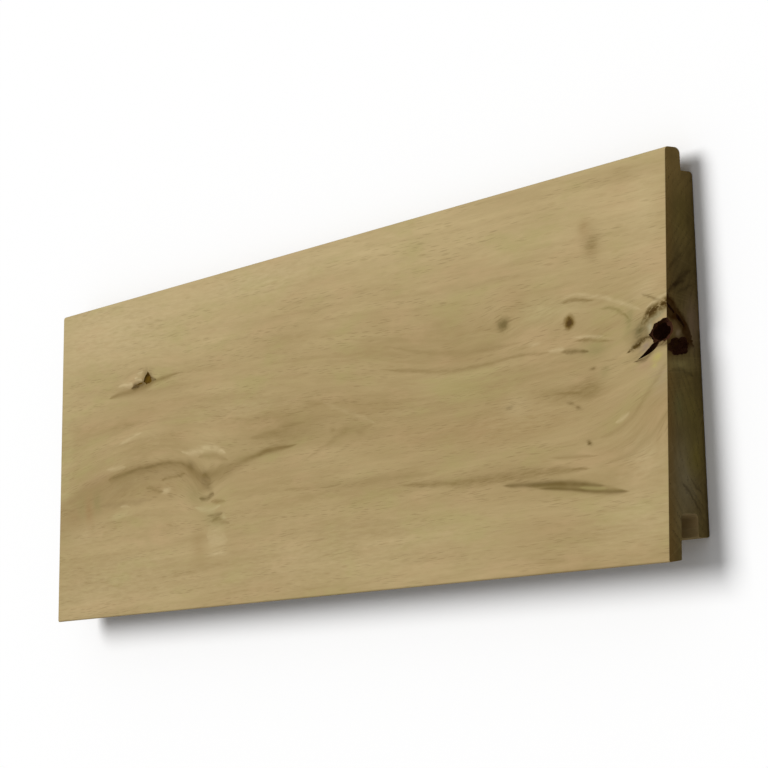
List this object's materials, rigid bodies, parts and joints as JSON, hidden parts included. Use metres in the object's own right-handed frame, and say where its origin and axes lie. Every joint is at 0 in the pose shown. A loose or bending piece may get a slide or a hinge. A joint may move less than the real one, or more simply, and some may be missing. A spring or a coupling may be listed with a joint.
{
  "type": "oak cladding board",
  "caption": "Solid oak cladding board with a sloping face, a tongue along its upper edge and a lapped groove along its lower edge.",
  "frame": {"origin": "middle of the board's outline, on the plane of its back", "axes": "+X along the board, +Y across it from the front lip to the tongue, +Z from the back to the face"},
  "size_m": [0.6, 0.1949, 0.0249],
  "materials": {
    "oak": "matte"
  },
  "bodies": {
    "root": {"cladding_board": "oak"}
  },
  "joints": []
}
